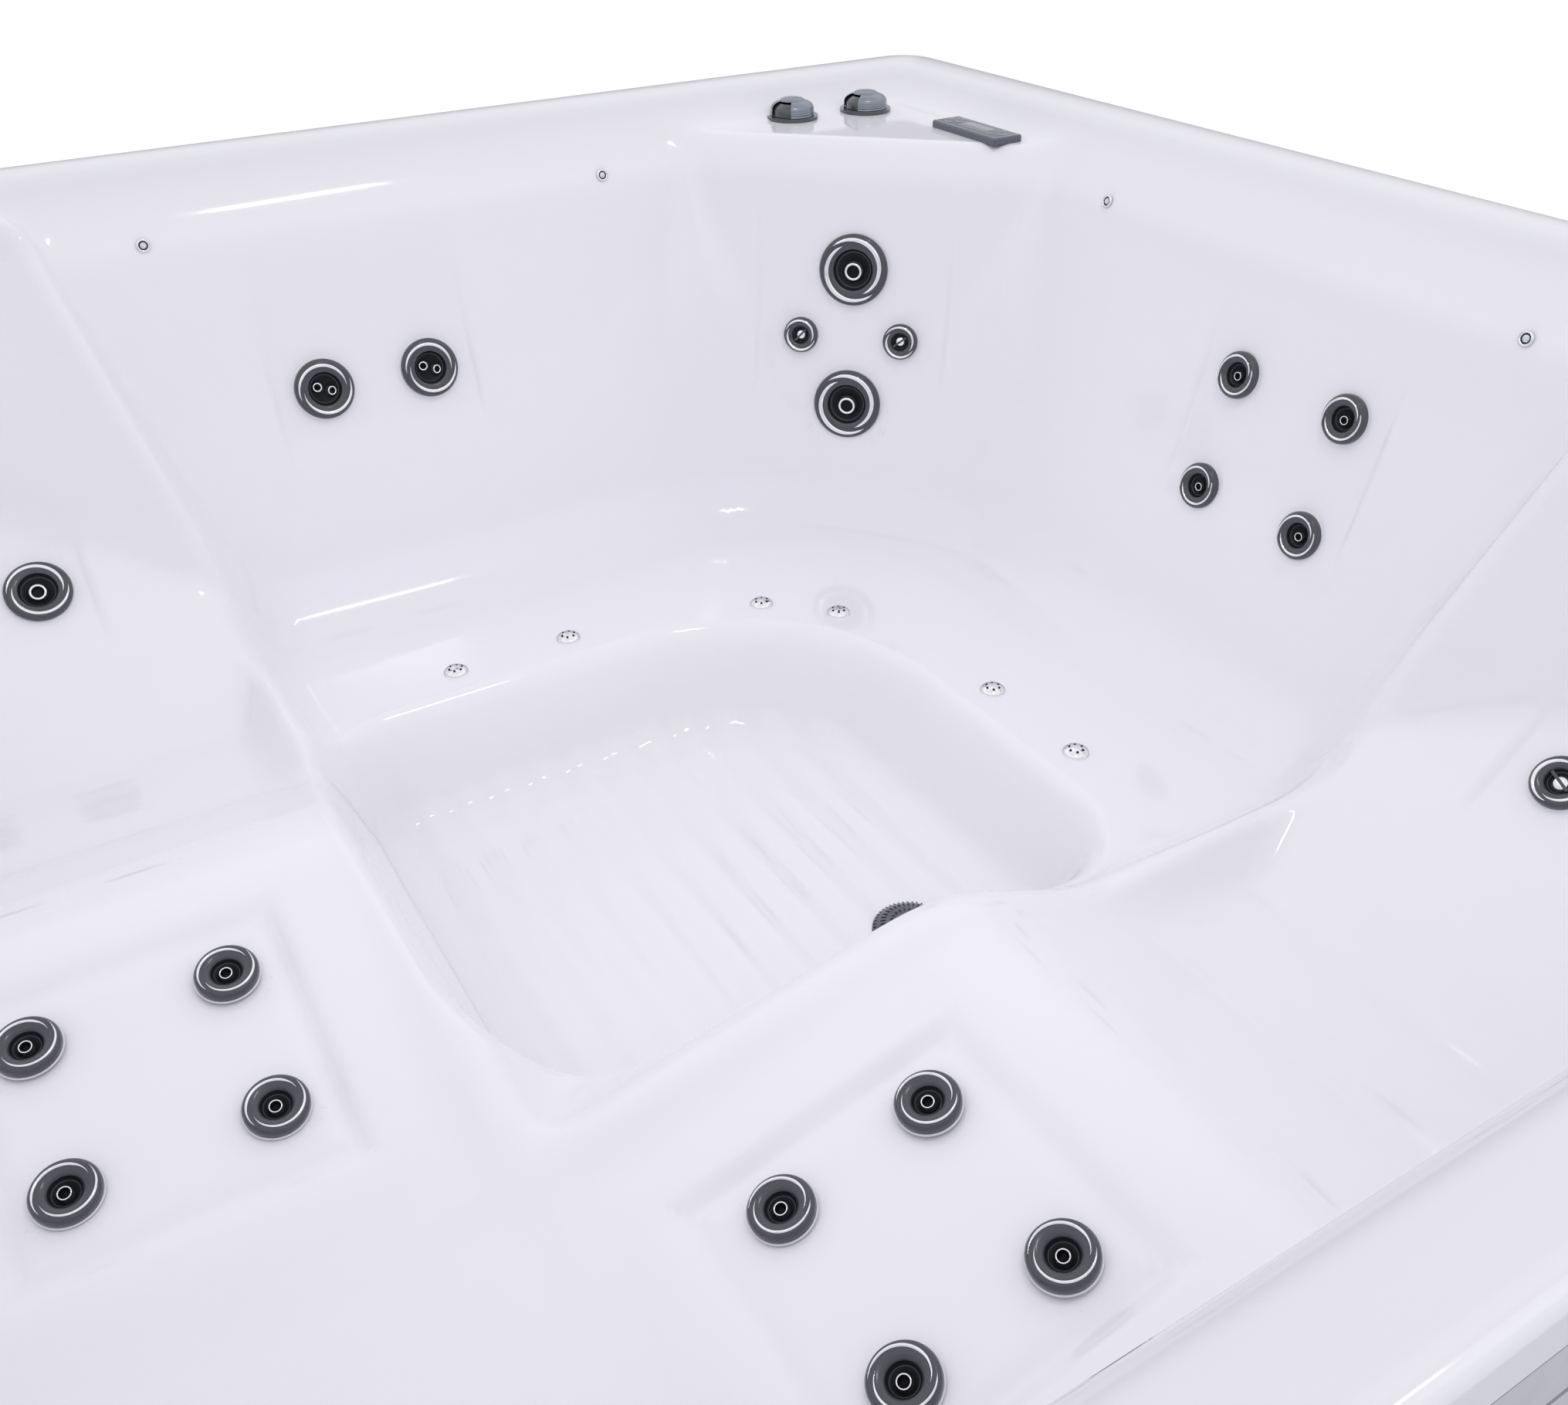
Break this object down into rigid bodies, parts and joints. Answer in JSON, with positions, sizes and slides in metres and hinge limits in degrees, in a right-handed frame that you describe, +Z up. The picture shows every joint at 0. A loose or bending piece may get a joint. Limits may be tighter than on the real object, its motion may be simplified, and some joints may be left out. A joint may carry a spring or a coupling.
{
  "type": "hot tub",
  "caption": "Square acrylic hot tub with a curved bench round one corner, two loungers, a ribbed footwell, swirl jets, air injectors, shelf controls and a grooved cabinet.",
  "frame": {"origin": "centre of the base's underside, on the floor", "axes": "+Z up; +Y towards the back wall, which is on the picture's left; +X along the back wall towards the far corner with the knobs, which is at +X +Y; the access panel faces -Y"},
  "size_m": [2.13, 2.13, 0.91],
  "materials": {
    "acrylic": "glossy white moulded acrylic with a faint lavender tint",
    "base": "matt black moulded plastic",
    "frame": "grey powder-coated steel",
    "cabinet": "matt slate grey synthetic boards",
    "pump_plastic": "matt black plastic",
    "motor": "dark grey painted casting",
    "hose": "satin grey-white flexible pipe",
    "heater_steel": "brushed stainless steel",
    "pipe": "satin white rigid pipe",
    "filter_media": "white pleated filter cloth",
    "shelf_plastic": "satin light grey plastic",
    "flange": "glossy dark grey plastic",
    "knob_silver": "satin silver-grey coating",
    "control_grey": "satin dark grey plastic",
    "display": "glossy black display window",
    "key_grey": "satin mid grey rubberised keys",
    "jet_slate": "glossy slate grey plastic with chromed inlays",
    "chrome": "bright chrome",
    "lens": "clear lens in a bright rim"
  },
  "bodies": {
    "tub": {"shell": "acrylic", "base_pan": "base", "cabinet_frame": "frame", "corner_trims": "cabinet", "side_panels": "cabinet", "pump_wet_end": "pump_plastic", "pump_motor": "motor", "suction_hose": "hose", "heater_hoses": "hose", "heater": "heater_steel", "control_box": "pump_plastic", "water_manifold": "pipe", "air_blower": "pump_plastic", "air_manifold": "pipe", "filter_canister": "base", "filter_cartridge": "filter_media", "suction_cover": "shelf_plastic", "suction_body": "pipe", "diverter_valve": "flange", "air_valve": "flange", "topside_housing": "control_grey", "topside_display": "display", "air_injectors": "chrome", "led_lights": "lens", "jet_bodies": "flange"},
    "jet_back_left_face": {"jet_back_left": "jet_slate"},
    "jet_back_right_face": {"jet_back_right": "jet_slate"},
    "jet_corner_top_face": {"jet_corner_top": "jet_slate"},
    "jet_corner_bottom_face": {"jet_corner_bottom": "jet_slate"},
    "jet_corner_left_face": {"jet_corner_left": "jet_slate"},
    "jet_corner_right_face": {"jet_corner_right": "jet_slate"},
    "jet_side_top_left_face": {"jet_side_top_left": "jet_slate"},
    "jet_side_top_right_face": {"jet_side_top_right": "jet_slate"},
    "jet_side_bottom_left_face": {"jet_side_bottom_left": "jet_slate"},
    "jet_side_bottom_right_face": {"jet_side_bottom_right": "jet_slate"},
    "jet_left_lounge_back_inner_face": {"jet_left_lounge_back_inner": "jet_slate"},
    "jet_left_lounge_back_outer_face": {"jet_left_lounge_back_outer": "jet_slate"},
    "jet_left_lounge_knee_inner_face": {"jet_left_lounge_knee_inner": "jet_slate"},
    "jet_left_lounge_knee_outer_face": {"jet_left_lounge_knee_outer": "jet_slate"},
    "jet_left_lounge_ankle_inner_face": {"jet_left_lounge_ankle_inner": "jet_slate"},
    "jet_left_lounge_ankle_outer_face": {"jet_left_lounge_ankle_outer": "jet_slate"},
    "jet_near_lounge_back_inner_face": {"jet_near_lounge_back_inner": "jet_slate"},
    "jet_near_lounge_back_outer_face": {"jet_near_lounge_back_outer": "jet_slate"},
    "jet_near_lounge_knee_inner_face": {"jet_near_lounge_knee_inner": "jet_slate"},
    "jet_near_lounge_knee_outer_face": {"jet_near_lounge_knee_outer": "jet_slate"},
    "jet_near_lounge_ankle_inner_face": {"jet_near_lounge_ankle_inner": "jet_slate"},
    "jet_near_lounge_ankle_outer_face": {"jet_near_lounge_ankle_outer": "jet_slate"},
    "diverter_knob_body": {"diverter_knob": "knob_silver"},
    "air_knob_body": {"air_knob": "knob_silver"},
    "key_up_cap": {"key_up": "key_grey"},
    "key_light_cap": {"key_light": "key_grey"},
    "key_air_cap": {"key_air": "key_grey"},
    "key_down_cap": {"key_down": "key_grey"},
    "key_pump_one_cap": {"key_pump_one": "key_grey"},
    "key_pump_two_cap": {"key_pump_two": "key_grey"},
    "key_menu_cap": {"key_menu": "key_grey"},
    "rotor": {"pump_rotor": "pump_plastic"},
    "lid": {"filter_lid": "shelf_plastic"},
    "flap": {"weir_flap": "shelf_plastic"},
    "access": {"access_panel": "cabinet"}
  },
  "joints": [
    {"name": "jet_back_left_turn", "type": "hinge", "parent": "tub", "child": "jet_back_left_face", "pos_m": [-0.107, 0.87662, 0.59073], "axis": [0, -0.9659, 0.2588], "range_deg": [0, 90]},
    {"name": "jet_back_right_turn", "type": "hinge", "parent": "tub", "child": "jet_back_right_face", "pos_m": [0.053, 0.87662, 0.59073], "axis": [0, -0.9659, 0.2588], "range_deg": [0, 90]},
    {"name": "jet_corner_top_turn", "type": "hinge", "parent": "tub", "child": "jet_corner_top_face", "pos_m": [0.71336, 0.71336, 0.66954], "axis": [-0.6964, -0.6964, 0.1736], "range_deg": [0, 90]},
    {"name": "jet_corner_bottom_turn", "type": "hinge", "parent": "tub", "child": "jet_corner_bottom_face", "pos_m": [0.68708, 0.68708, 0.45879], "axis": [-0.6964, -0.6964, 0.1736], "range_deg": [0, 90]},
    {"name": "jet_corner_left_turn", "type": "hinge", "parent": "tub", "child": "jet_corner_left_face", "pos_m": [0.64224, 0.7582, 0.56417], "axis": [-0.6964, -0.6964, 0.1736], "range_deg": [0, 90]},
    {"name": "jet_corner_right_turn", "type": "hinge", "parent": "tub", "child": "jet_corner_right_face", "pos_m": [0.7582, 0.64224, 0.56417], "axis": [-0.6964, -0.6964, 0.1736], "range_deg": [0, 90]},
    {"name": "jet_side_top_left_turn", "type": "hinge", "parent": "tub", "child": "jet_side_top_left_face", "pos_m": [0.89668, 0.0615, 0.66559], "axis": [-0.9659, 0, 0.2588], "range_deg": [0, 90]},
    {"name": "jet_side_top_right_turn", "type": "hinge", "parent": "tub", "child": "jet_side_top_right_face", "pos_m": [0.89668, -0.1155, 0.66559], "axis": [-0.9659, 0, 0.2588], "range_deg": [0, 90]},
    {"name": "jet_side_bottom_left_turn", "type": "hinge", "parent": "tub", "child": "jet_side_bottom_left_face", "pos_m": [0.85656, 0.0615, 0.51587], "axis": [-0.9659, 0, 0.2588], "range_deg": [0, 90]},
    {"name": "jet_side_bottom_right_turn", "type": "hinge", "parent": "tub", "child": "jet_side_bottom_right_face", "pos_m": [0.85656, -0.1155, 0.51587], "axis": [-0.9659, 0, 0.2588], "range_deg": [0, 90]},
    {"name": "jet_left_lounge_back_inner_turn", "type": "hinge", "parent": "tub", "child": "jet_left_lounge_back_inner_face", "pos_m": [-0.553, 0.8032, 0.41791], "axis": [0, -0.6527, 0.7576], "range_deg": [0, 90]},
    {"name": "jet_left_lounge_back_outer_turn", "type": "hinge", "parent": "tub", "child": "jet_left_lounge_back_outer_face", "pos_m": [-0.72301, 0.8032, 0.41791], "axis": [0, -0.6527, 0.7576], "range_deg": [0, 90]},
    {"name": "jet_left_lounge_knee_inner_turn", "type": "hinge", "parent": "tub", "child": "jet_left_lounge_knee_inner_face", "pos_m": [-0.5055, -0.0046, 0.35019], "axis": [0, -0.2674, 0.9636], "range_deg": [0, 90]},
    {"name": "jet_left_lounge_knee_outer_turn", "type": "hinge", "parent": "tub", "child": "jet_left_lounge_knee_outer_face", "pos_m": [-0.6905, -0.0046, 0.35019], "axis": [0, -0.2674, 0.9636], "range_deg": [0, 90]},
    {"name": "jet_left_lounge_ankle_inner_turn", "type": "hinge", "parent": "tub", "child": "jet_left_lounge_ankle_inner_face", "pos_m": [-0.5055, -0.15878, 0.3074], "axis": [0, -0.2674, 0.9636], "range_deg": [0, 90]},
    {"name": "jet_left_lounge_ankle_outer_turn", "type": "hinge", "parent": "tub", "child": "jet_left_lounge_ankle_outer_face", "pos_m": [-0.6905, -0.15878, 0.3074], "axis": [0, -0.2674, 0.9636], "range_deg": [0, 90]},
    {"name": "jet_near_lounge_back_inner_turn", "type": "hinge", "parent": "tub", "child": "jet_near_lounge_back_inner_face", "pos_m": [0.8032, -0.553, 0.41791], "axis": [-0.6527, 0, 0.7576], "range_deg": [0, 90]},
    {"name": "jet_near_lounge_back_outer_turn", "type": "hinge", "parent": "tub", "child": "jet_near_lounge_back_outer_face", "pos_m": [0.8032, -0.72301, 0.41791], "axis": [-0.6527, 0, 0.7576], "range_deg": [0, 90]},
    {"name": "jet_near_lounge_knee_inner_turn", "type": "hinge", "parent": "tub", "child": "jet_near_lounge_knee_inner_face", "pos_m": [-0.0046, -0.5055, 0.35019], "axis": [-0.2674, 0, 0.9636], "range_deg": [0, 90]},
    {"name": "jet_near_lounge_knee_outer_turn", "type": "hinge", "parent": "tub", "child": "jet_near_lounge_knee_outer_face", "pos_m": [-0.0046, -0.6905, 0.35019], "axis": [-0.2674, 0, 0.9636], "range_deg": [0, 90]},
    {"name": "jet_near_lounge_ankle_inner_turn", "type": "hinge", "parent": "tub", "child": "jet_near_lounge_ankle_inner_face", "pos_m": [-0.15878, -0.5055, 0.3074], "axis": [-0.2674, 0, 0.9636], "range_deg": [0, 90]},
    {"name": "jet_near_lounge_ankle_outer_turn", "type": "hinge", "parent": "tub", "child": "jet_near_lounge_ankle_outer_face", "pos_m": [-0.15878, -0.6905, 0.3074], "axis": [-0.2674, 0, 0.9636], "range_deg": [0, 90]},
    {"name": "diverter_knob_turn", "type": "hinge", "parent": "tub", "child": "diverter_knob_body", "pos_m": [0.735, 0.935, 0.8635], "axis": [0, 0, 1], "range_deg": [0, 180]},
    {"name": "air_knob_turn", "type": "hinge", "parent": "tub", "child": "air_knob_body", "pos_m": [0.865, 0.915, 0.8635], "axis": [0, 0, 1], "range_deg": [0, 90]},
    {"name": "key_up_press", "type": "slide", "parent": "tub", "child": "key_up_cap", "axis": [0, 0, -1], "range_m": [0, 0.0006], "stiffness_N_per_m": 200},
    {"name": "key_light_press", "type": "slide", "parent": "tub", "child": "key_light_cap", "axis": [0, 0, -1], "range_m": [0, 0.0006], "stiffness_N_per_m": 200},
    {"name": "key_air_press", "type": "slide", "parent": "tub", "child": "key_air_cap", "axis": [0, 0, -1], "range_m": [0, 0.0006], "stiffness_N_per_m": 200},
    {"name": "key_down_press", "type": "slide", "parent": "tub", "child": "key_down_cap", "axis": [0, 0, -1], "range_m": [0, 0.0006], "stiffness_N_per_m": 200},
    {"name": "key_pump_one_press", "type": "slide", "parent": "tub", "child": "key_pump_one_cap", "axis": [0, 0, -1], "range_m": [0, 0.0006], "stiffness_N_per_m": 200},
    {"name": "key_pump_two_press", "type": "slide", "parent": "tub", "child": "key_pump_two_cap", "axis": [0, 0, -1], "range_m": [0, 0.0006], "stiffness_N_per_m": 200},
    {"name": "key_menu_press", "type": "slide", "parent": "tub", "child": "key_menu_cap", "axis": [0, 0, -1], "range_m": [0, 0.0006], "stiffness_N_per_m": 200},
    {"name": "pump_rotor_spin", "type": "hinge", "parent": "tub", "child": "rotor", "pos_m": [0.23, -0.62, 0.158], "axis": [1, 0, 0], "continuous": true},
    {"name": "filter_lid_lift", "type": "slide", "parent": "tub", "child": "lid", "axis": [0, 0, 1], "range_m": [0, 0.3]},
    {"name": "weir_flap_swing", "type": "hinge", "parent": "tub", "child": "flap", "pos_m": [-0.74963, -0.74963, 0.7155], "axis": [0.7071, -0.7071, 0], "range_deg": [0, 45], "stiffness_Nm_per_rad": 0.3},
    {"name": "access_panel_pull", "type": "slide", "parent": "tub", "child": "access", "axis": [0, -1, 0], "range_m": [0, 0.25]}
  ]
}
